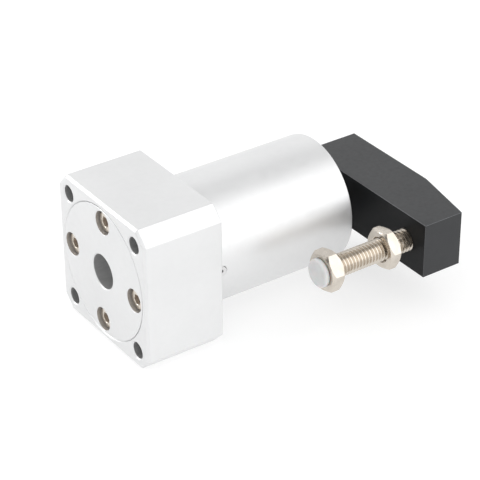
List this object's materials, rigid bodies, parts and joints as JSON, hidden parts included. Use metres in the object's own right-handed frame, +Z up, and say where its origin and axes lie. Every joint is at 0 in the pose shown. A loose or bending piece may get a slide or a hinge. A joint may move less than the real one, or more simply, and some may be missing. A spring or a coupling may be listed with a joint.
{
  "type": "rotary clamp cylinder",
  "caption": "Pneumatic swing clamp: a square-based round barrel whose rod turns and lifts a black clamp arm with a screw-adjusted pad.",
  "frame": {"origin": "bottom centre of the bounding box, with the cylinder lying on one side of its square base", "axes": "+X along the rod axis from the mounting face to the arm, +Z up, and the clamp arm points to -Y at rest"},
  "size_m": [0.0864, 0.059, 0.04],
  "materials": {
    "anodised_body": "satin clear anodised",
    "machined_aluminium": "machined",
    "bright_steel": "ground or bright",
    "nickel_plate": "nickel plated",
    "black_arm": "black oxide, satin",
    "rubber": "moulded",
    "polyurethane": "moulded",
    "bronze": "sintered",
    "pad_plastic": "moulded, slightly clear"
  },
  "bodies": {
    "barrel": {"barrel_body": "anodised_body", "rear_cover": "anodised_body", "rear_cover_o_ring": "rubber", "cover_screw_1": "bright_steel", "cover_screw_2": "bright_steel", "cover_screw_3": "bright_steel", "cover_screw_4": "bright_steel", "guide_ring": "bright_steel", "guide_pin_1": "bright_steel", "guide_pin_2": "bright_steel", "guide_pin_plug_1": "bright_steel", "guide_pin_plug_2": "bright_steel", "gland": "machined_aluminium", "gland_o_ring": "rubber", "rod_bush": "bronze", "rod_seal": "polyurethane", "rod_wiper": "polyurethane", "gland_snap_ring": "bright_steel"},
    "piston": {"piston": "machined_aluminium", "piston_seal": "rubber", "piston_wear_ring": "pad_plastic", "piston_o_ring": "rubber", "piston_bumper_1": "polyurethane", "piston_bumper_2": "polyurethane", "thrust_washer_1": "bronze", "thrust_washer_2": "bronze"},
    "rod": {"guide_shaft": "bright_steel", "piston_rod": "bright_steel", "clamp_arm": "black_arm", "arm_key": "bright_steel", "arm_washer": "bright_steel", "arm_screw": "bright_steel"},
    "nut": {"lock_nut": "nickel_plate"},
    "pad": {"bolt_pad": "pad_plastic"},
    "bolt": {"clamp_bolt": "nickel_plate"}
  },
  "joints": [
    {"name": "rod_stroke", "type": "slide", "parent": "barrel", "child": "piston", "axis": [1, 0, 0], "range_m": [0, 0.013]},
    {"name": "arm_swing", "type": "hinge", "parent": "piston", "child": "rod", "pos_m": [0.02485, 0.00948, 0.02], "axis": [-1, 0, 0], "range_deg": [0, 90]},
    {"name": "nut_run", "type": "slide", "parent": "rod", "child": "nut", "axis": [1, 0, 0], "range_m": [0, 0.005]},
    {"name": "bolt_adjust", "type": "slide", "parent": "rod", "child": "pad", "axis": [1, 0, 0], "range_m": [-0.006, 0.0015]},
    {"name": "bolt_turn", "type": "hinge", "parent": "pad", "child": "bolt", "pos_m": [0.00285, -0.02198, 0.02], "axis": [1, 0, 0], "range_deg": [-2160, 540]}
  ],
  "couplings": [
    {"joint": "arm_swing", "follows": "rod_stroke", "rad_per_m": 120.83},
    {"joint": "bolt_turn", "follows": "bolt_adjust", "rad_per_m": 6283.2}
  ]
}
